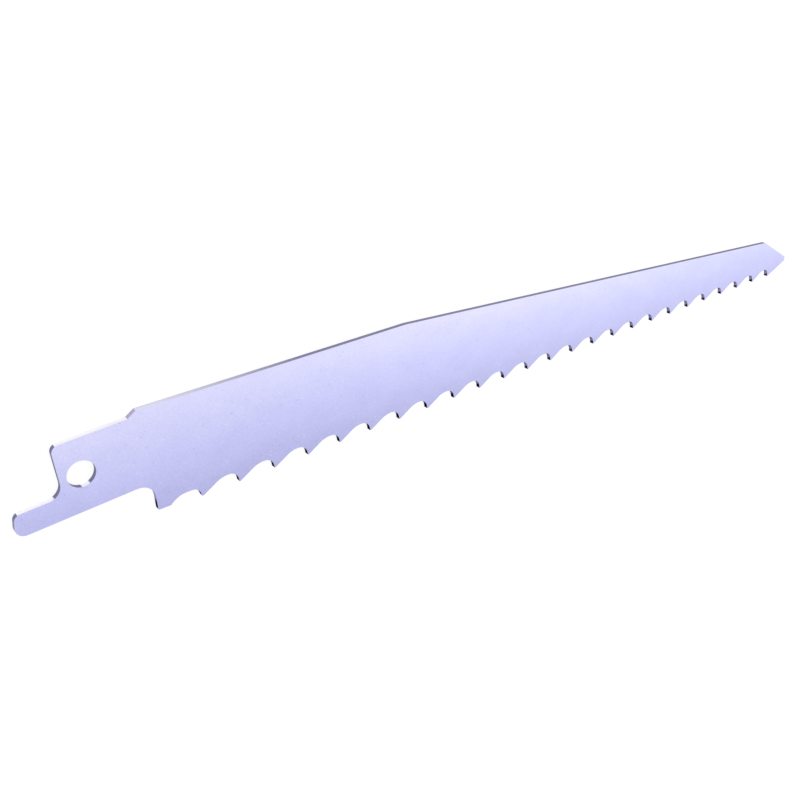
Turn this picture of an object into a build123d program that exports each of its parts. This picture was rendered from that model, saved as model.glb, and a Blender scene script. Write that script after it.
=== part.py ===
from build123d import *
import os
from math import atan2, cos, floor, hypot, radians, sin, tan

# Reciprocating saw blade, stamped and ground from one strip of steel. Millimetres.
# The origin is on the pin hole's axis, in the underside. +X runs along the shank to the nose,
# +Y points to the spine and +Z out of the upper face, so the blade lies flat on z = 0.

# Strip and overall size
blade_thickness = 0.9
overall_length = 200.0
body_width = 18.9  # tooth tips to spine, square to the row of teeth

# Shank, measured from the axis of the pin hole
pin_hole_diameter = 4.4
tang_reach = 11.0
shoulder_reach = 3.3
shank_edge_above = 5.95
shank_edge_below = 6.33
tang_width = 3.85
tang_end_slant = 12.0  # degrees that the tang's end leans out towards its lower edge
tang_end_lower_radius = 1.6
tang_end_upper_radius = 1.1
notch_radius = 2.2
shoulder_radius = 1.2
heel_root_radius = 2.6
step_start = 8.5
step_angle = 31.0

# Row of teeth: it falls away from the shank's line, and its first tip stands at this place
row_angle = 3.12
first_tip_x = 17.7
first_tip_drop = 12.52
tooth_pitch = 6.84
tip_land = 0.2
front_rake = 8.0
gullet_depth = 2.09
gullet_radius = 1.7
back_run = 3.5  # along the row, from the foot of a tooth's back to where its straight meets the floor
arc_share = 0.72  # the most that an arc takes of a straight beside it

# Heel: a blunt tooth between the shank and the first gullet
heel_lift = 0.5
heel_land = 2.2
heel_rake = 2.0
heel_corner_radius = 0.4
first_gap = 5.55
first_gap_depth = 1.82
first_back_run = 1.4
first_tip_rake = 24.0

# Spine and nose
taper_start = 61.5
nose_length = 10.7
nose_corner_height = 9.85
nose_tip_height = 2.75
nose_tip_flat = 1.05
last_tooth_gap = 6.5


def from_row(along, height):
    """Blade position of a point given along the row of teeth and square to it."""
    slope = radians(row_angle)
    x = first_tip_x + along * cos(slope) + height * sin(slope)
    y = -first_tip_drop - along * sin(slope) + height * cos(slope)
    return x, y


def above_row(x, height):
    """Blade position of a point at a place along the blade and a height over the tooth tips."""
    return x, height - first_tip_drop - (x - first_tip_x) * tan(radians(row_angle))


def gullet(gap, depth, run, rake, foot_height):
    """Cutter for the gap in front of a tooth whose tip is at the local origin.

    From the foot of the tooth behind, the back rises straight, sweeps over to the floor
    in a wide arc and turns down the tooth's front face in a tight one.
    """
    foot = (-gap, foot_height)
    back_corner = (run - gap, depth)
    front_corner = (-depth * tan(radians(rake)), depth)
    floor_length = front_corner[0] - back_corner[0]
    # an arc's radius over its reach: how far along each straight from the corner it starts
    front_turn = tan(radians(90 + rake) / 2)
    back_turn = 1 / tan(atan2(depth - foot_height, run) / 2)
    tight = min(gullet_radius, arc_share * min(floor_length, depth) * front_turn)
    floor_left = floor_length - tight / front_turn
    wide = arc_share * min(floor_left, hypot(depth - foot_height, run)) * back_turn
    with BuildSketch() as cutter:
        with BuildLine():
            FilletPolyline(foot, back_corner, front_corner, (0, 0), radius=(wide, tight))
            Polyline((0, 0), (0, -depth), (-gap, -depth), foot)
        make_face()
    return cutter.sketch


# Tang: its end leans out, and the round of the lower corner touches the tang's reach
tang_top = tang_width - shank_edge_below
end_lean = radians(tang_end_slant)
tang_end_overhang = tang_end_lower_radius * ((1 + sin(end_lean)) / cos(end_lean) - 1)
tang_lower_corner = (-tang_reach - tang_end_overhang, -shank_edge_below)
tang_upper_corner = (tang_lower_corner[0] + tang_width * tan(end_lean), tang_top)

# Spine: parallel to the row of teeth up to the taper, and met by the step's slope
spine_height = body_width / cos(radians(row_angle))
step_slope = tan(radians(step_angle))
step_rise = above_row(0, spine_height)[1] - shank_edge_above
step_end = (step_rise + step_start * step_slope) / (step_slope + tan(radians(row_angle)))

# Teeth: as many as fit before the nose
nose_x = overall_length - tang_reach
row_length = nose_x - last_tooth_gap - first_tip_x
tooth_count = 1 + floor(row_length / (tooth_pitch * cos(radians(row_angle))))
heel_front = from_row(-first_gap - heel_land, heel_lift)
heel_root_x = heel_front[0] - (shank_edge_below + heel_front[1]) * tan(radians(heel_rake))

# Corners of the blank anticlockwise from the heel's root, each with the radius of its round
blank_corners = [
    ((heel_root_x, -shank_edge_below), heel_root_radius),
    (heel_front, heel_corner_radius),
    (from_row(-first_gap, heel_lift), 0),
    (from_row(0, 0), 0),
    (from_row((tooth_count - 1) * tooth_pitch + tip_land, 0), 0),
    (above_row(nose_x, nose_tip_height), 0),
    (above_row(nose_x, nose_tip_height + nose_tip_flat), 0),
    (above_row(nose_x - nose_length, nose_corner_height), 0),
    (above_row(taper_start, spine_height), 0),
    (above_row(step_end, spine_height), 0),
    ((step_start, shank_edge_above), 0),
    ((-shoulder_reach, shank_edge_above), shoulder_radius),
    ((-shoulder_reach, tang_top), notch_radius),
    (tang_upper_corner, tang_end_upper_radius),
    (tang_lower_corner, tang_end_lower_radius),
]
points = [corner for corner, _ in blank_corners]
radii = [radius for _, radius in blank_corners]

first_gullet = gullet(first_gap, first_gap_depth, first_back_run, first_tip_rake, heel_lift)
row_gullet = gullet(tooth_pitch - tip_land, gullet_depth, back_run, front_rake, 0)

with BuildPart() as saw_blade:
    with BuildSketch() as outline:
        with BuildLine():
            FilletPolyline(*points, radius=radii, close=True)
        make_face()
        with Locations(Location((first_tip_x, -first_tip_drop, 0), (0, 0, -row_angle))):
            add(first_gullet, mode=Mode.SUBTRACT)
            with Locations(*[(tooth_pitch * number, 0) for number in range(1, tooth_count)]):
                add(row_gullet, mode=Mode.SUBTRACT)
        Circle(pin_hole_diameter / 2, mode=Mode.SUBTRACT)
    extrude(amount=blade_thickness)

saw_blade.part.label = "saw_blade"
os.makedirs("parts", exist_ok=True)
export_step(saw_blade.part, "parts/saw_blade.step")
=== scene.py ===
"""Looks of a reciprocating saw blade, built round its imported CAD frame.

The blade lies flat on its underside. The frame's origin is on the axis of the pin hole, +X runs
along the shank to the nose, +Y points to the spine and +Z upwards. Outlines are drawn in
millimetres and turned into metres once the plate is finished. Finishes are measured in metres.
"""

import logging
from collections.abc import Callable, Iterable, Sequence
from dataclasses import dataclass, field
from enum import Enum, IntEnum
from itertools import pairwise
from math import atan2, cos, hypot, radians, sin, tan
from typing import NamedTuple

import bmesh
import bpy
from bmesh.types import BMEdge, BMesh, BMFace, BMVert
from mathutils import Matrix, Vector


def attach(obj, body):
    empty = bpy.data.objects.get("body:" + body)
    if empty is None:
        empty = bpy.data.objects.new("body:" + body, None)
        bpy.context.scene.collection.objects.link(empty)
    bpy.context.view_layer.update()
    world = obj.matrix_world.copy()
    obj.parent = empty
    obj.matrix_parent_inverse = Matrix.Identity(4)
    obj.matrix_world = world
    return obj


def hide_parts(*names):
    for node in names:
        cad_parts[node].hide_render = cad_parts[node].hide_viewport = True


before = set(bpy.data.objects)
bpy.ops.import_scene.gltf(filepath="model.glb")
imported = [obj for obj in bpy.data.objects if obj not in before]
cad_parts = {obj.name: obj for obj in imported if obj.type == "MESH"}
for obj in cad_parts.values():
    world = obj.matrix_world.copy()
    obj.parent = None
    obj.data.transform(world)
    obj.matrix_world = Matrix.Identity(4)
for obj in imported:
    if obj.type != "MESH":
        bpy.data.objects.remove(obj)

log = logging.getLogger("saw_blade")

MM = 0.001
WELD = 1e-4  # in millimetres: points nearer than this are one
SEAM = 1e-4  # in metres: the width of a hard change between two finishes
MIDDLE = 0.5  # the middle of a noise, which runs from 0 to 1
SPECK_CORE = 0.3  # the share of a speck's radius within which it is full

Triple = tuple[float, float, float]
Colour = tuple[float, float, float]
Tint = Colour | bpy.types.NodeSocket
Inputs = dict[str | int, object]

ORIGIN: Triple = (0.0, 0.0, 0.0)
LEVEL: Triple = (1.0, 1.0, 0.0)  # times a vector, it lays the vector into the blade's plane
WHITE: Colour = (1.0, 1.0, 1.0)


class Axis(Enum):
    """A direction to measure along, as a unit vector."""

    X = (1.0, 0.0, 0.0)
    Y = (0.0, 1.0, 0.0)
    Z = (0.0, 0.0, 1.0)


class Rise(Enum):
    """How a step goes from 0 to 1."""

    SMOOTH = "SMOOTHSTEP"
    STRAIGHT = "LINEAR"


class Detail(Enum):
    """How many finer layers a noise holds."""

    NONE = 0.0
    SOME = 2.0
    MORE = 3.0


class Span(NamedTuple):
    """Where a step leaves 0, and where it reaches 1, which may be lower."""

    start: float
    end: float


@dataclass(frozen=True)
class Pattern:
    """A noise over a finish, and how much of the finish it moves."""

    cells: Triple  # how many blobs there are to a metre, along X, Y and Z
    detail: Detail = Detail.SOME
    sway: float = 0.0  # how far it moves the colour, in metres
    rough: float = 0.0  # how far it spreads the roughness
    relief: float = 1.0  # its share of the relief


def opaque(colour: Colour) -> tuple[float, float, float, float]:
    """A colour with its alpha at 1."""
    return (*colour, 1.0)


class Value:
    """A number that varies over a surface. Arithmetic on it adds Math nodes to its tree."""

    def __init__(self, shader: "Shader", socket: bpy.types.NodeSocket) -> None:
        """Wraps a node's output, with the shader that it belongs to."""
        self.shader = shader
        self.socket = socket

    def _math(self, operation: str, *operands: "Value | float") -> "Value":
        """One Math node.

        Args:
            operation: The node's operation.
            operands: Its inputs in order.

        Returns:
            The node's result.
        """
        settings = {"operation": operation}
        node = self.shader.node("ShaderNodeMath", settings, dict(enumerate(operands)))
        return Value(self.shader, node.outputs[0])

    def __add__(self, other: "Value | float") -> "Value":
        """Sum."""
        return self._math("ADD", self, other)

    __radd__ = __add__

    def __sub__(self, other: "Value | float") -> "Value":
        """Difference."""
        return self._math("SUBTRACT", self, other)

    def __rsub__(self, other: float) -> "Value":
        """Difference from a number."""
        return self._math("SUBTRACT", other, self)

    def __mul__(self, other: "Value | float") -> "Value":
        """Product."""
        return self._math("MULTIPLY", self, other)

    __rmul__ = __mul__

    def step(self, span: Span, rise: Rise = Rise.SMOOTH) -> "Value":
        """A step between two values.

        Args:
            span: Where the step starts and ends.
            rise: How it goes from one to the other.

        Returns:
            A value from 0 to 1.
        """
        settings = {"interpolation_type": rise.value, "clamp": True}
        inputs = {
            "Value": self,
            "From Min": span.start,
            "From Max": span.end,
            "To Min": 0.0,
            "To Max": 1.0,
        }
        node = self.shader.node("ShaderNodeMapRange", settings, inputs)
        return Value(self.shader, node.outputs["Result"])

    def past(self, limit: float) -> "Value":
        """1 past a limit and 0 before it, with a narrow seam between."""
        return self.step(Span(limit, limit + SEAM))

    def before(self, limit: float) -> "Value":
        """1 before a limit and 0 past it, with a narrow seam between."""
        return self.step(Span(limit, limit - SEAM))

    def sway(self, spread: float) -> "Value":
        """A noise moved to lie about 0, and stretched."""
        return (self - MIDDLE) * spread


class Shader:
    """A material's node tree, and the few calls that this script needs to fill it."""

    def __init__(self, name: str) -> None:
        """Starts a material with one Principled shader.

        Args:
            name: The material's name.
        """
        self.material = bpy.data.materials.new(name)
        self.material.use_nodes = True
        self.tree = self.material.node_tree
        self.place = self.node("ShaderNodeTexCoord").outputs["Object"]
        self.facing = self.node("ShaderNodeNewGeometry").outputs["Normal"]

    def node(
        self, kind: str, settings: dict[str, object] | None = None, inputs: Inputs | None = None
    ) -> bpy.types.Node:
        """Adds a node.

        Args:
            kind: The node's type.
            settings: Its properties, set before the inputs.
            inputs: A value or a link for each input, by name or number.

        Returns:
            The node.
        """
        node = self.tree.nodes.new(kind)
        for key, setting in (settings or {}).items():
            setattr(node, key, setting)
        self.feed(node, inputs or {})
        return node

    def feed(self, node: bpy.types.Node, inputs: Inputs) -> None:
        """Sets or links a node's inputs.

        Args:
            node: The node.
            inputs: A value or a link for each input, by name or number.
        """
        for key, given in inputs.items():
            if isinstance(given, Value):
                given = given.socket
            if isinstance(given, bpy.types.NodeSocket):
                self.tree.links.new(given, node.inputs[key])
            else:
                node.inputs[key].default_value = given

    def finished(self, inputs: Inputs) -> bpy.types.Material:
        """The finished material, once its Principled shader is fed with these inputs."""
        self.feed(self.tree.nodes["Principled BSDF"], inputs)
        return self.material

    def vector(self, operation: str, *operands: object) -> bpy.types.Node:
        """One Vector Math node, with its inputs in order."""
        settings = {"operation": operation}
        return self.node("ShaderNodeVectorMath", settings, dict(enumerate(operands)))

    def along(self, vector: bpy.types.NodeSocket, direction: Sequence[float]) -> Value:
        """How far a vector reaches in a direction."""
        return Value(self, self.vector("DOT_PRODUCT", vector, direction).outputs["Value"])

    def place_along(self, axis: Axis) -> Value:
        """A shaded point's coordinate, in metres."""
        return self.along(self.place, axis.value)

    def outward(self, direction: Sequence[float]) -> Value:
        """How squarely a wall faces a direction, whatever its rim's slope.

        Args:
            direction: The direction, in the blade's plane.

        Returns:
            The cosine of the angle between them.
        """
        level = self.vector("MULTIPLY", self.facing, LEVEL).outputs["Vector"]
        unit = self.vector("NORMALIZE", level).outputs["Vector"]
        return self.along(unit, direction)

    def cells(self, per_metre: Triple) -> Inputs:
        """Inputs that give a texture so many cells to a metre, along X, Y and Z."""
        place = self.vector("MULTIPLY", self.place, per_metre).outputs["Vector"]
        return {"Vector": place, "Scale": 1.0}

    def noise(self, pattern: Pattern) -> Value:
        """Smooth noise from 0 to 1, with a pattern's cells and detail."""
        inputs = {**self.cells(pattern.cells), "Detail": pattern.detail.value}
        return Value(self, self.node("ShaderNodeTexNoise", {}, inputs).outputs["Fac"])

    def specks(self, per_metre: Triple, radius: float) -> Value:
        """Round specks, 1 at the middle and 0 off them, whose radius is a share of a cell."""
        cell = self.node("ShaderNodeTexVoronoi", {}, self.cells(per_metre))
        return Value(self, cell.outputs["Distance"]).step(Span(radius, SPECK_CORE * radius))

    def blend(self, first: Tint, second: Tint, share: Value) -> bpy.types.NodeSocket:
        """Mixes two colours.

        Args:
            first: The colour, or the link to one, where share is 0.
            second: The same where share is 1.
            share: How much of the second there is.

        Returns:
            The mixed colour.
        """
        node = self.node("ShaderNodeMix", {"data_type": "RGBA"}, {0: share})
        for number, given in ((6, first), (7, second)):
            linked = isinstance(given, bpy.types.NodeSocket)
            self.feed(node, {number: given if linked else opaque(given)})
        return node.outputs[2]

    def layered(self, base: Colour, *coats: tuple[Colour, Value]) -> Tint:
        """Lays colours over each other.

        Args:
            base: The lowest colour.
            coats: Each further colour with its share, in order.

        Returns:
            The mixed colour.
        """
        colour: Tint = base
        for coat, share in coats:
            colour = self.blend(colour, coat, share)
        return colour

    def relief(self, height: Value, depth: float) -> bpy.types.NodeSocket:
        """The normal bumped by a height from 0 to 1, where 1 stands for a depth in metres."""
        inputs = {"Strength": 1.0, "Distance": depth, "Height": height}
        return self.node("ShaderNodeBump", {}, inputs).outputs["Normal"]


HeightOf = Callable[[Shader], Value]


@dataclass(frozen=True)
class Specks:
    """Small round specks of another tone, which gather in the patches of a noise."""

    colour: Colour
    cells: Triple  # how many there are to a metre, along X, Y and Z
    patches: Span  # values of the noise
    share: float
    radius: float = 0.17  # as a share of a cell

    def coat(self, shader: Shader, noise: Value) -> tuple[Colour, Value]:
        """Their colour, and how much of it there is."""
        specks = shader.specks(self.cells, self.radius)
        return self.colour, specks * noise.step(self.patches) * self.share


@dataclass(frozen=True)
class FaceSteel:
    """The broad faces: satin steel with a fine mottled grain, in painted light: darker and more
    violet towards the teeth, lighter towards the spine.
    """

    # painted light: the faces run from painted shade by the teeth, through the middle, to painted
    # light by the spine
    painted_shade_by_teeth: Colour = (0.449, 0.446, 0.754)
    middle: Colour = (0.560, 0.568, 0.897)
    painted_light_by_spine: Colour = (0.697, 0.692, 0.968)
    lower_half: Span = Span(0.0, 0.0095)  # heights over the line of the tooth tips, over which the painted light rises
    upper_half: Span = Span(0.0095, 0.019)
    cloud: Pattern = Pattern((150.0, 220.0, 220.0), Detail.MORE, sway=0.005)
    patches: Pattern = Pattern((700.0, 700.0, 700.0), Detail.NONE, sway=0.0015)
    grain: Pattern = Pattern((2400.0, 2400.0, 2400.0), sway=0.010, rough=0.16, relief=0.6)
    lines: Pattern = Pattern(
        (60.0, 1900.0, 60.0), Detail.MORE, sway=0.002, rough=0.08, relief=0.4
    )
    pits: Specks = Specks(
        colour=(0.26, 0.26, 0.46), cells=(980.0, 980.0, 980.0), patches=Span(0.64, 0.34), share=0.4
    )
    sparks: Specks = Specks(
        colour=(0.90, 0.90, 1.0), cells=(950.0, 950.0, 950.0), patches=Span(0.36, 0.66), share=0.36
    )
    metallic: float = 0.8
    roughness: float = 0.42
    relief: float = 6e-6  # how high the grain and the lines stand, in metres

    def material(self, height_of: HeightOf) -> bpy.types.Material:
        """Builds the material.

        Args:
            height_of: Gives a point's height over the line of the tooth tips.

        Returns:
            The material.
        """
        shader = Shader("face_steel")
        cloud, patches = shader.noise(self.cloud), shader.noise(self.patches)
        grain, lines = shader.noise(self.grain), shader.noise(self.lines)
        blotches = cloud.sway(self.cloud.sway) + patches.sway(self.patches.sway)
        mottle = blotches + grain.sway(self.grain.sway)
        height = height_of(shader) + mottle + lines.sway(self.lines.sway)
        marks = grain * self.grain.relief + lines * self.lines.relief
        smoothest = self.roughness - (self.grain.rough + self.lines.rough) * MIDDLE
        return shader.finished(
            {
                # painted light: darker by the teeth, lighter by the spine
                "Base Color": shader.layered(
                    self.painted_shade_by_teeth,
                    (self.middle, height.step(self.lower_half, Rise.STRAIGHT)),
                    (self.painted_light_by_spine, height.step(self.upper_half, Rise.STRAIGHT)),
                    self.pits.coat(shader, patches),
                    self.sparks.coat(shader, patches),
                ),
                "Metallic": self.metallic,
                "Roughness": grain * self.grain.rough + lines * self.lines.rough + smoothest,
                "Normal": shader.relief(marks, self.relief),
            }
        )


@dataclass(frozen=True)
class EdgeSteel:
    """The sheared walls: dark on the shank with a painted white reflection on its upper walls,
    pale to dark along the spine.
    """

    thickness: float  # of the plate, in metres
    shank_end: float  # places along the blade, in metres
    nose_start: float
    plain: Colour = (0.45, 0.43, 0.58)
    drag: Pattern = Pattern((2600.0, 2600.0, 300.0), rough=0.2)
    torn: Span = Span(0.00042, 0.00018)  # heights at which the torn lower part of a wall begins
    torn_rough: float = 0.2
    torn_share: float = 0.15
    upper_side: Triple = (-0.12, 0.993, 0.0)  # what the spine and the shank's upper edge face
    dark: Colour = (0.187, 0.179, 0.308)
    shank_rise: Span = Span(-0.0062, -0.0030)  # across the shank, whose lowest walls stay plain
    # painted reflection: the shank's upper walls are painted near white, as if mirroring the white
    # studio
    painted_white_reflection: Colour = (0.97, 0.96, 1.0)
    reflection_facing: Span = Span(0.94, 0.975)  # how squarely a wall with the painted reflection faces the upper side
    reflection_fade: Span = Span(0.0002, 0.0009)  # heights over which the painted reflection fades up the wall
    reflection_fade_share: float = 0.12
    pale: Colour = (0.74, 0.73, 0.86)
    spine_facing: Span = Span(0.93, 0.955)
    # the spine wall turns darker along the blade, away from the shank
    darker_along_spine: Colour = (0.235, 0.225, 0.355)
    fade: Span = Span(0.0125, 0.0385)  # places along the spine
    fade_lag: float = 4.0  # how far it trails, for the depth down the wall
    fade_fray: float = 0.002  # how far the drag marks push it
    far: Colour = (0.17, 0.16, 0.285)
    far_fade: Span = Span(0.10, 0.18)
    ground: Colour = (0.60, 0.585, 0.575)
    nose_side: Triple = (0.7071, 0.7071, 0.0)
    nose_facing: Span = Span(0.3, 0.5)
    metallic: float = 0.85
    grazing_tint: Colour = (0.7, 0.7, 0.7)
    roughness: float = 0.36
    relief: float = 8e-6  # how high the drag marks stand, in metres

    def material(self) -> bpy.types.Material:
        """Builds the material.

        Returns:
            The material.
        """
        shader = Shader("edge_steel")
        x, y, z = (shader.place_along(axis) for axis in Axis)
        drag = shader.noise(self.drag)
        torn = z.step(self.torn) * drag
        upward = shader.outward(self.upper_side)
        beyond_shank = x.past(self.shank_end)
        shank = (1 - beyond_shank) * y.step(self.shank_rise, Rise.STRAIGHT)
        reflection_fade = z.step(self.reflection_fade, Rise.STRAIGHT) * self.reflection_fade_share
        spine = beyond_shank * upward.step(self.spine_facing)
        lag = (self.thickness - z) * self.fade_lag - drag * self.fade_fray
        nose = x.past(self.nose_start) * shader.outward(self.nose_side).step(self.nose_facing)
        smoothest = self.roughness - self.drag.rough * MIDDLE
        return shader.finished(
            {
                "Base Color": shader.layered(
                    self.plain,
                    (self.pale, spine),
                    (self.darker_along_spine, spine * (x - lag).step(self.fade, Rise.STRAIGHT)),
                    (self.far, spine * x.step(self.far_fade, Rise.STRAIGHT)),
                    (self.ground, nose),
                    (self.dark, torn * self.torn_share),
                    (self.dark, shank),
                    # painted reflection of the white studio on the shank's upper walls
                    (self.painted_white_reflection, shank * upward.step(self.reflection_facing) * (1 - reflection_fade)),
                ),
                "Metallic": self.metallic,
                "Specular Tint": opaque(self.grazing_tint),
                "Roughness": drag * self.drag.rough + torn * self.torn_rough + smoothest,
                "Normal": shader.relief(drag, self.relief),
            }
        )


@dataclass(frozen=True)
class ToothSteel:
    """Front faces of the teeth and the heel: painted shade, black at the tip, grey-violet by the
    gullet.
    """

    thickness: float  # of the plate, in metres
    # painted shade: the tips' black stands in for shade on the tooth fronts
    painted_tip_shade: Colour = (0.006, 0.005, 0.020)
    grey: Colour = (0.245, 0.235, 0.395)
    fade: Span = Span(0.0006, 0.0011)  # heights over the line of the tooth tips, over which the painted shade fades to grey
    slant: float = 0.5  # how much lower the painted shade reaches towards the underside, for its depth
    near: Span = Span(0.095, 0.025)  # places along the blade, towards the shank
    near_more: float = 0.0010  # how much higher the painted shade reaches on the teeth next to the shank
    heel_end: float = 0.013
    heel_more: float = 0.0002  # how much higher the painted shade reaches on the heel
    heel_grey: Colour = (0.56, 0.54, 0.88)
    heel_fade: Span = Span(0.0006, 0.0021)
    painted_contact_shadow: Span = Span(0.00030, 0.00012)  # heights at which the painted contact shadow along the underside begins
    contact_shadow_share: float = 0.45
    ground: Pattern = Pattern((500.0, 500.0, 5200.0), sway=0.0003, rough=0.2)
    metallic: float = 0.95
    gloss: float = 0.1
    grazing_tint: Colour = (0.1, 0.1, 0.1)
    roughness: float = 0.4
    relief: float = 8e-6  # how high the grinding marks stand, in metres

    def material(self, height_of: HeightOf) -> bpy.types.Material:
        """Builds the material.

        Args:
            height_of: Gives a point's height over the line of the tooth tips.

        Returns:
            The material.
        """
        shader = Shader("tooth_steel")
        x, z = shader.place_along(Axis.X), shader.place_along(Axis.Z)
        ground = shader.noise(self.ground)
        on_heel = x.before(self.heel_end)
        raised = on_heel * self.heel_more + x.step(self.near, Rise.STRAIGHT) * self.near_more
        lowered = (self.thickness - z) * self.slant
        height = height_of(shader) - raised + lowered + ground.sway(self.ground.sway)
        # painted contact shadow along the underside, where the tooth fronts meet the floor
        painted_contact_shadow = z.step(self.painted_contact_shadow) * (1 - on_heel) * self.contact_shadow_share
        # how far the painted shade has faded to grey
        tone = height.step(self.fade) * (1 - on_heel) + height.step(self.heel_fade) * on_heel
        grey = shader.blend(self.grey, self.heel_grey, on_heel)
        smoothest = self.roughness - self.ground.rough * MIDDLE
        return shader.finished(
            {
                # painted shade at the tips and painted contact shadow along the underside
                "Base Color": shader.blend(self.painted_tip_shade, grey, tone * (1 - painted_contact_shadow)),
                "Metallic": self.metallic,
                "Specular IOR Level": self.gloss,
                "Specular Tint": opaque(self.grazing_tint),
                "Roughness": ground * self.ground.rough + smoothest,
                "Normal": shader.relief(ground, self.relief),
            }
        )


@dataclass(frozen=True)
class PaleFloor:
    """The studio's matt white floor."""

    colour: Colour = (0.16, 0.16, 0.16)
    paler: Colour = (0.1648, 0.1648, 0.1648)
    blotches: Pattern = Pattern((40.0, 40.0, 40.0), Detail.MORE)
    roughness: float = 0.9
    glow: float = 0.86  # brings the lit floor to just over white: only touching edges shade it

    def material(self) -> bpy.types.Material:
        """Builds the material.

        Returns:
            The material.
        """
        shader = Shader("pale_floor")
        blotches = shader.noise(self.blotches)
        return shader.finished(
            {
                "Base Color": shader.blend(self.colour, self.paler, blotches),
                "Roughness": self.roughness,
                "Emission Color": opaque(WHITE),
                "Emission Strength": self.glow,
            }
        )


@dataclass(frozen=True)
class Corner:
    """A corner of an outline, in millimetres, with the radius of its round."""

    x: float
    y: float
    radius: float = 0.0

    def to(self, other: "Corner") -> Vector:
        """The vector from this corner to another."""
        return Vector((other.x - self.x, other.y - self.y))


class Drawing:
    """Edges drawn in the blade's plane, in millimetres."""

    def __init__(self) -> None:
        """Starts an empty drawing."""
        self.bm: BMesh = bmesh.new()

    def chain(self, corners: Sequence[Corner], segments: int) -> list[BMVert | BMEdge]:
        """Draws straight edges through some corners and rounds those that have a radius.

        Args:
            corners: The corners in order.
            segments: How many edges a round gets.

        Returns:
            The points and edges drawn.
        """
        before = set(self.bm.verts) | set(self.bm.edges)
        points = [self.bm.verts.new((corner.x, corner.y, 0.0)) for corner in corners]
        for start, end in pairwise(points):
            self.bm.edges.new((start, end))
        for last, here, following, point in zip(corners, corners[1:], corners[2:], points[1:]):
            if here.radius:
                turn = last.to(here).angle(here.to(following))
                self.round(point, here.radius * tan(turn / 2), segments)
        return [item for item in [*self.bm.verts, *self.bm.edges] if item not in before]

    def round(self, point: BMVert, reach: float, segments: int) -> None:
        """Rounds one corner.

        Args:
            point: The corner's point.
            reach: How far along its edges the round goes.
            segments: How many edges the round gets.
        """
        bmesh.ops.bevel(
            self.bm,
            geom=[point],
            offset=reach,
            offset_type="OFFSET",
            segments=segments,
            profile=0.5,
            affect="VERTICES",
            clamp_overlap=False,
            material=-1,
        )

    def turn(self, angle: float) -> None:
        """Turns the drawing about the pin hole's axis."""
        turned = Matrix.Rotation(angle, 3, "Z")
        bmesh.ops.rotate(self.bm, cent=ORIGIN, matrix=turned, verts=self.bm.verts[:])


@dataclass(frozen=True)
class Gullet:
    """A gap of the row and the tip in front of it.

    Its places are along the row, and its heights are over the tips.
    """

    foot: float  # where its back starts
    tip: float
    end: float  # where the land of the tip ends
    depth: float
    back_run: float
    rake: float
    radius: float  # the most that the round under the tooth's front may have
    lift: float = 0.0  # how high its back starts
    arc_share: float = 0.72  # the most that an arc takes of a straight beside it

    def corners(self) -> list[Corner]:
        """The gullet's outline.

        Returns:
            Its corners, from the back's foot to the end of the tip's land.
        """
        back = self.foot + self.back_run
        front = self.tip - self.depth * tan(self.rake)
        rise = self.depth - self.lift
        # an arc's radius over its reach: how far along each straight from the corner it starts
        front_turn = tan((radians(90) + self.rake) / 2)
        back_turn = tan(atan2(rise, self.back_run) / 2)
        tight = min(self.radius, self.arc_share * min(front - back, self.depth) * front_turn)
        floor_left = front - back - tight / front_turn
        wide = self.arc_share * min(floor_left, hypot(rise, self.back_run)) / back_turn
        return [
            Corner(self.foot, self.lift),
            Corner(back, self.depth, wide),
            Corner(front, self.depth, tight),
            Corner(self.tip, 0.0),
            Corner(self.end, 0.0),
        ]


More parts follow.
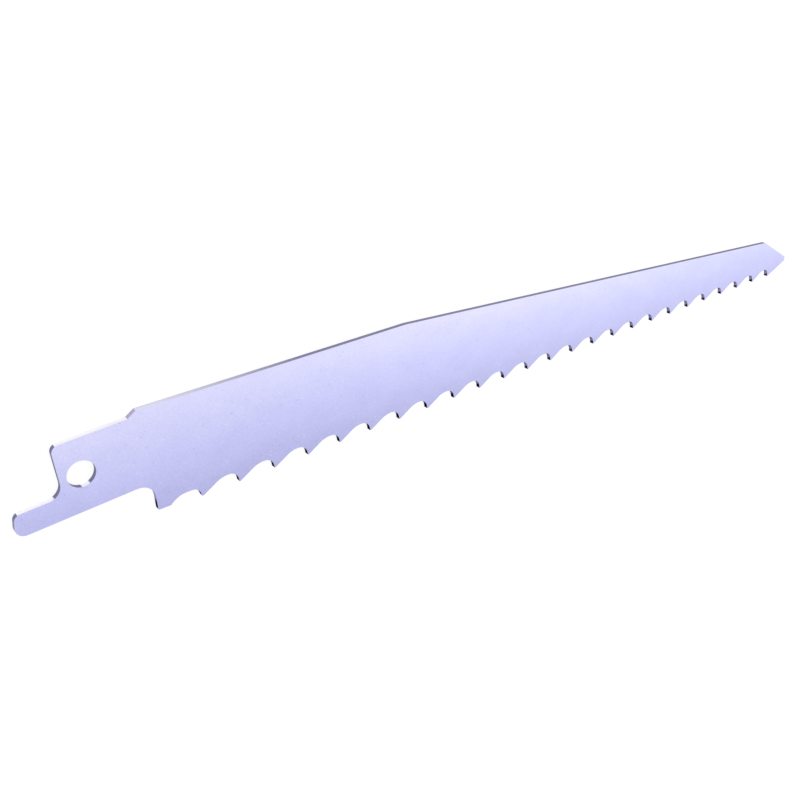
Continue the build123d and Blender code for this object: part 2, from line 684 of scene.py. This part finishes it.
@dataclass
class ToothRow:
    """The row of hooked teeth: one gullet, repeated, and the shorter first one."""

    slope: float = radians(3.12)
    first_tip: tuple[float, float] = (17.7, -12.52)
    teeth: int = 25
    pitch: float = 6.84
    land: float = 0.2
    rake: float = radians(8.0)
    depth: float = 2.09
    front_radius: float = 1.7
    back_run: float = 3.5
    heel_lift: float = 0.5
    first_gap: float = 5.55
    first_depth: float = 1.76
    first_back_run: float = 1.4
    first_rake: float = radians(16.0)
    first_radius: float = 1.35
    first_tip_back: float = 0.1  # how far the first tip starts behind its place in the row
    segments: int = 8

    def place(self, along: float, height: float) -> tuple[float, float]:
        """Turns a point of the row into a point of the blade.

        Args:
            along: Distance from the first tip along the row.
            height: Distance from the line of tips, towards the spine.

        Returns:
            Its x and y.
        """
        x = self.first_tip[0] + along * cos(self.slope) + height * sin(self.slope)
        y = self.first_tip[1] - along * sin(self.slope) + height * cos(self.slope)
        return x, y

    def above(self, x: float, height: float) -> tuple[float, float]:
        """The point at a place along the blade and a height straight over the line of tips."""
        return x, self.first_tip[1] - (x - self.first_tip[0]) * tan(self.slope) + height

    def height_in(self, shader: Shader) -> Value:
        """Measures a shaded point's height over the line of tips.

        Args:
            shader: The material's tree.

        Returns:
            The height in metres.
        """
        up = (sin(self.slope), cos(self.slope), 0.0)
        origin = self.first_tip[0] * up[0] + self.first_tip[1] * up[1]
        return shader.along(shader.place, up) - origin * MM

    def gullet(self) -> Gullet:
        """Shapes the gullet between the first two teeth, which the rest of the row repeats.

        Returns:
            The gullet.
        """
        return Gullet(
            foot=self.land,
            tip=self.pitch,
            end=self.pitch + self.land,
            depth=self.depth,
            back_run=self.back_run,
            rake=self.rake,
            radius=self.front_radius,
        )

    def first_gullet(self) -> Gullet:
        """Shapes the shorter gullet between the heel and the first tooth.

        Returns:
            The gullet.
        """
        return Gullet(
            foot=-self.first_gap,
            tip=-self.first_tip_back,
            end=self.land,
            depth=self.first_depth,
            back_run=self.first_back_run,
            rake=self.first_rake,
            radius=self.first_radius,
            lift=self.heel_lift,
        )

    def draw(self, drawing: Drawing) -> None:
        """Draws the whole row into an empty drawing.

        Args:
            drawing: The drawing.
        """
        bmesh.ops.spin(
            drawing.bm,
            geom=drawing.chain(self.gullet().corners(), self.segments),
            cent=ORIGIN,
            axis=Axis.Z.value,
            dvec=(self.pitch, 0.0, 0.0),
            angle=0.0,
            steps=self.teeth - 2,
            use_duplicate=True,
        )
        drawing.chain(self.first_gullet().corners(), self.segments)
        sloped = Matrix.Rotation(-self.slope, 4, "Z")
        placed = Matrix.Translation((*self.first_tip, 0.0)) @ sloped
        bmesh.ops.transform(drawing.bm, matrix=placed, verts=drawing.bm.verts[:])


@dataclass
class Blank:
    """The rest of the outline: nose, spine, shank and heel."""

    reach: float = 189.0
    width: float = 18.9
    tang_reach: float = 11.0
    tang_width: float = 3.85
    tang_lean: float = radians(12.0)
    tang_lower_radius: float = 1.6
    tang_upper_radius: float = 1.1
    shoulder_reach: float = 3.3
    shoulder_radius: float = 1.2
    notch_radius: float = 2.2
    edge_above: float = 5.95
    edge_below: float = 6.33
    step_start: float = 8.5
    step_angle: float = radians(31.0)
    heel_land: float = 2.2
    heel_rake: float = radians(2.0)
    heel_radius: float = 0.2
    heel_root_radius: float = 2.6
    taper_start: float = 61.5
    nose_length: float = 10.7
    nose_corner: float = 9.85
    nose_tip: float = 2.75
    nose_flat: float = 1.05
    segments: int = 12

    def shank(self) -> list[Corner]:
        """Outlines the shank.

        Returns:
            Its corners, from the step round the tang.
        """
        top = self.tang_width - self.edge_below
        lean = self.tang_lean
        overhang = self.tang_lower_radius * ((1 + sin(lean)) / cos(lean) - 1)
        end = -self.tang_reach - overhang
        return [
            Corner(self.step_start, self.edge_above),
            Corner(-self.shoulder_reach, self.edge_above, self.shoulder_radius),
            Corner(-self.shoulder_reach, top, self.notch_radius),
            Corner(end + self.tang_width * tan(lean), top, self.tang_upper_radius),
            Corner(end, -self.edge_below, self.tang_lower_radius),
        ]

    def heel(self, row: ToothRow) -> list[Corner]:
        """Outlines the heel.

        Args:
            row: The row that it stands behind.

        Returns:
            Its corners, from its root to the first gullet.
        """
        x, y = row.place(-row.first_gap - self.heel_land, row.heel_lift)
        root = x - (self.edge_below + y) * tan(self.heel_rake)
        return [
            Corner(root, -self.edge_below, self.heel_root_radius),
            Corner(x, y, self.heel_radius),
            Corner(*row.place(-row.first_gap, row.heel_lift)),
        ]

    def nose_and_spine(self, row: ToothRow) -> list[Corner]:
        """Outlines the nose and the spine.

        Args:
            row: The row that they follow.

        Returns:
            Their corners, from the last tooth to the end of the step.
        """
        spine = self.width / cos(row.slope)
        rise = row.above(0, spine)[1] - self.edge_above
        step = tan(self.step_angle)
        step_end = (rise + self.step_start * step) / (step + tan(row.slope))
        return [
            Corner(*row.place((row.teeth - 1) * row.pitch + row.land, 0.0)),
            Corner(*row.above(self.reach, self.nose_tip)),
            Corner(*row.above(self.reach, self.nose_tip + self.nose_flat)),
            Corner(*row.above(self.reach - self.nose_length, self.nose_corner)),
            Corner(*row.above(self.taper_start, spine)),
            Corner(*row.above(step_end, spine)),
        ]

    def draw(self, drawing: Drawing, row: ToothRow) -> None:
        """Draws the outline from the last tooth round to the first gullet."""
        corners = [*self.nose_and_spine(row), *self.shank(), *self.heel(row)]
        drawing.chain(corners, self.segments)


class Surface(IntEnum):
    """The blade's surfaces, in the order of its material slots."""

    FACE = 0
    EDGE = 1
    TOOTH = 2


def piece_of(name: str, bm: BMesh, finishes: Iterable[bpy.types.Material]) -> bpy.types.Object:
    """Turns a finished bmesh into an object of the scene.

    Args:
        name: The object's name.
        bm: Its mesh, which is freed.
        finishes: The materials of its slots, in order.

    Returns:
        The object.
    """
    mesh = bpy.data.meshes.new(name)
    bm.to_mesh(mesh)
    bm.free()
    for finish in finishes:
        mesh.materials.append(finish)
    piece = bpy.data.objects.new(name, mesh)
    bpy.context.scene.collection.objects.link(piece)
    return piece


@dataclass
class Blade:
    """The whole blade: its outline filled, raised to its thickness, its rims broken."""

    thickness: float = 0.9
    hole_radius: float = 2.2
    hole_segments: int = 96
    fill_turn: float = 0.3  # radians: the fill misses faces where edges lie along the axes
    rim: float = 0.03
    rim_segments: int = 3
    flat_limit: float = 0.99  # the least upward share of a broad face's normal
    front_limit: float = -0.45  # the most forward share of a tooth front's normal
    shank_margin: float = 0.5  # how far under the shank's lower edge the tooth fronts begin
    sharp_angle: float = radians(20.0)
    row: ToothRow = field(default_factory=ToothRow)
    blank: Blank = field(default_factory=Blank)

    def outline(self) -> BMesh:
        """Draws the outline and the hole and fills between them.

        Returns:
            The filled outline.
        """
        drawing = Drawing()
        self.row.draw(drawing)
        self.blank.draw(drawing, self.row)
        bm = drawing.bm
        bmesh.ops.remove_doubles(bm, verts=bm.verts[:], dist=WELD)
        bmesh.ops.create_circle(
            bm, cap_ends=False, radius=self.hole_radius, segments=self.hole_segments
        )
        drawing.turn(self.fill_turn)
        bmesh.ops.triangle_fill(
            bm, use_beauty=True, use_dissolve=False, edges=bm.edges[:], normal=Axis.Z.value
        )
        drawing.turn(-self.fill_turn)
        return bm

    def is_flat(self, face: BMFace) -> bool:
        """Whether a face is part of a broad face."""
        return abs(face.normal.z) > self.flat_limit

    def bounds_flat(self, edge: BMEdge) -> bool:
        """Whether an edge lies between a broad face and a wall."""
        return len({self.is_flat(face) for face in edge.link_faces}) > 1

    def raise_plate(self, bm: BMesh) -> None:
        """Gives the filled outline its thickness and breaks the rims.

        Args:
            bm: The filled outline.
        """
        raised = bmesh.ops.extrude_face_region(bm, geom=bm.faces[:])["geom"]
        top = [item for item in raised if isinstance(item, BMVert)]
        bmesh.ops.translate(bm, vec=(0.0, 0.0, self.thickness), verts=top)
        bmesh.ops.recalc_face_normals(bm, faces=bm.faces[:])
        bmesh.ops.bevel(
            bm,
            geom=[edge for edge in bm.edges if self.bounds_flat(edge)],
            offset=self.rim,
            offset_type="OFFSET",
            segments=self.rim_segments,
            profile=0.5,
            affect="EDGES",
            clamp_overlap=True,
            loop_slide=True,
            material=-1,
        )

    def surface_of(self, face: BMFace) -> Surface:
        """Names the surface that a face belongs to.

        Args:
            face: A face of the raised plate.

        Returns:
            The surface.
        """
        if self.is_flat(face):
            return Surface.FACE
        centre = face.calc_center_median()
        top = -self.blank.edge_below - self.shank_margin
        below_shank = centre.y < top and centre.x > self.blank.step_start
        forward = face.normal.to_2d().normalized().x
        return Surface.TOOTH if below_shank and forward < self.front_limit else Surface.EDGE

    def shade(self, bm: BMesh) -> None:
        """Sets surfaces, smooth shading and the sharp edges that bound it.

        Args:
            bm: The raised plate.
        """
        for face in bm.faces:
            face.material_index = self.surface_of(face)
            face.smooth = True
        for edge in bm.edges:
            gentle = edge.calc_face_angle(0.0) < self.sharp_angle
            edge.smooth = gentle and not self.bounds_flat(edge)

    def finishes(self) -> list[bpy.types.Material]:
        """Makes the finishes of the blade's surfaces.

        Returns:
            Their materials, in the order of the slots.
        """
        thickness = self.thickness * MM
        edge_steel = EdgeSteel(
            thickness=thickness,
            shank_end=self.blank.step_start * MM,
            nose_start=(self.blank.reach - self.blank.nose_length) * MM,
        )
        made = {
            Surface.FACE: FaceSteel().material(self.row.height_in),
            Surface.EDGE: edge_steel.material(),
            Surface.TOOTH: ToothSteel(thickness).material(self.row.height_in),
        }
        return [made[surface] for surface in Surface]

    def build(self) -> bpy.types.Object:
        """Builds the piece that stands for the CAD blade and dresses it.

        Returns:
            The piece.
        """
        bm = self.outline()
        self.raise_plate(bm)
        self.shade(bm)
        bmesh.ops.scale(bm, vec=(MM, MM, MM), verts=bm.verts[:])
        piece = piece_of("dressed_blade", bm, self.finishes())
        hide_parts("saw_blade")
        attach(piece, "root")
        return piece


@dataclass
class Studio:
    """A pale floor, soft light and the camera at the photograph's viewing angle."""

    floor_half: float = 3.0
    world_strength: float = 1.0
    panel_place: Triple = (0.9, -0.15, 0.55)
    panel_size: float = 0.9
    panel_watts: float = 1.1
    panel_colour: Colour = (1.0, 1.0, 0.75)
    lens: float = 40.501
    sensor: float = 36.0
    shift: tuple[float, float] = (-0.000625, 0.000625)
    nearest: float = 0.01
    farthest: float = 20.0
    camera_place: Triple = (-0.028055, 0.072673, 0.118418)
    camera_right: Triple = (0.78405, -0.05134, 0.61857)
    camera_up: Triple = (0.34251, 0.86689, -0.36221)

    def floor(self) -> bpy.types.Object:
        """Lays the floor under the blade.

        Returns:
            The floor.
        """
        bm = bmesh.new()
        bmesh.ops.create_grid(bm, x_segments=1, y_segments=1, size=self.floor_half)
        floor = piece_of("floor", bm, [PaleFloor().material()])
        return floor

    def lights(self) -> None:
        """Fills the studio with even light and hangs one large panel beyond the nose."""
        world = bpy.data.worlds.new("studio")
        world.use_nodes = True
        background = world.node_tree.nodes["Background"]
        background.inputs["Color"].default_value = opaque(WHITE)
        background.inputs["Strength"].default_value = self.world_strength
        bpy.context.scene.world = world
        panel = bpy.data.lights.new("panel", "AREA")
        panel.shape = "SQUARE"
        panel.size = self.panel_size
        panel.energy = self.panel_watts
        panel.color = self.panel_colour
        lamp = bpy.data.objects.new("panel", panel)
        lamp.location = self.panel_place
        lamp.rotation_euler = (-Vector(self.panel_place)).to_track_quat("-Z", "Y").to_euler()
        bpy.context.scene.collection.objects.link(lamp)

    def camera(self) -> None:
        """Sets up the camera."""
        data = bpy.data.cameras.new("camera")
        data.lens = self.lens
        data.sensor_width = self.sensor
        data.shift_x, data.shift_y = self.shift
        data.clip_start, data.clip_end = self.nearest, self.farthest
        right, up = Vector(self.camera_right).normalized(), Vector(self.camera_up).normalized()
        turn = Matrix((right, up, right.cross(up))).transposed().to_4x4()
        camera = bpy.data.objects.new("camera", data)
        camera.matrix_world = Matrix.Translation(self.camera_place) @ turn
        bpy.context.scene.collection.objects.link(camera)
        bpy.context.scene.camera = camera

    def build(self) -> bpy.types.Object:
        """Builds the floor, the lights and the camera.

        Returns:
            The floor.
        """
        bpy.context.scene.view_settings.view_transform = "Standard"
        floor = self.floor()
        self.lights()
        self.camera()
        return floor


def report(pieces: Iterable[bpy.types.Object]) -> None:
    """Logs each piece with its number of faces."""
    for piece in pieces:
        log.info("%s: %d faces", piece.name, len(piece.data.polygons))


def plain(corners: Iterable[Vector]) -> list[list[float]]:
    """Two corners of a box as plain lists of numbers."""
    return [list(corner) for corner in corners]


def main() -> None:
    """Builds the blade and the studio."""
    logging.basicConfig(level=logging.INFO, format="%(name)s: %(message)s")
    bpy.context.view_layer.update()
    blade = Blade().build()
    floor = Studio().build()
    report([blade, floor])


if __name__ == "__main__":
    main()
